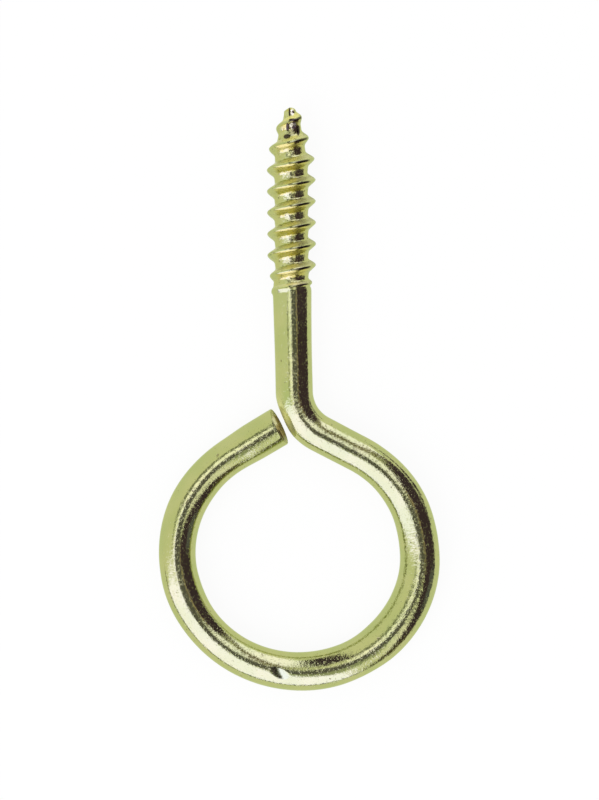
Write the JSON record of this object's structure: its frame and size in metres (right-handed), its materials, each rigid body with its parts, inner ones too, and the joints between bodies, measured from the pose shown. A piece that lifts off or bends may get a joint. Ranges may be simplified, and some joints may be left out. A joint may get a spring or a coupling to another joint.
{
  "type": "screw eye",
  "caption": "Open screw eye bent from one round wire, with a rolled wood-screw thread on its pointed shank, for hanging or tying from wood.",
  "frame": {"origin": "on the axis of the shank, where the thread meets the plain wire, which is where the face of the wood comes when it is driven in", "axes": "+Y along the shank towards the point, the eye on the -Y side; the eye lies flat in the XY plane, with +Z square to it towards the side that has the nick; +X towards the side to which the neck bends"},
  "size_m": [0.0298, 0.062, 0.0052],
  "materials": {
    "brassed_wire": "bright brass-plated steel wire, greenish gold, with fine die lines along the wire and a grainy, slightly pitted plating"
  },
  "bodies": {
    "root": {"screw_eye": "brassed_wire"}
  },
  "joints": []
}
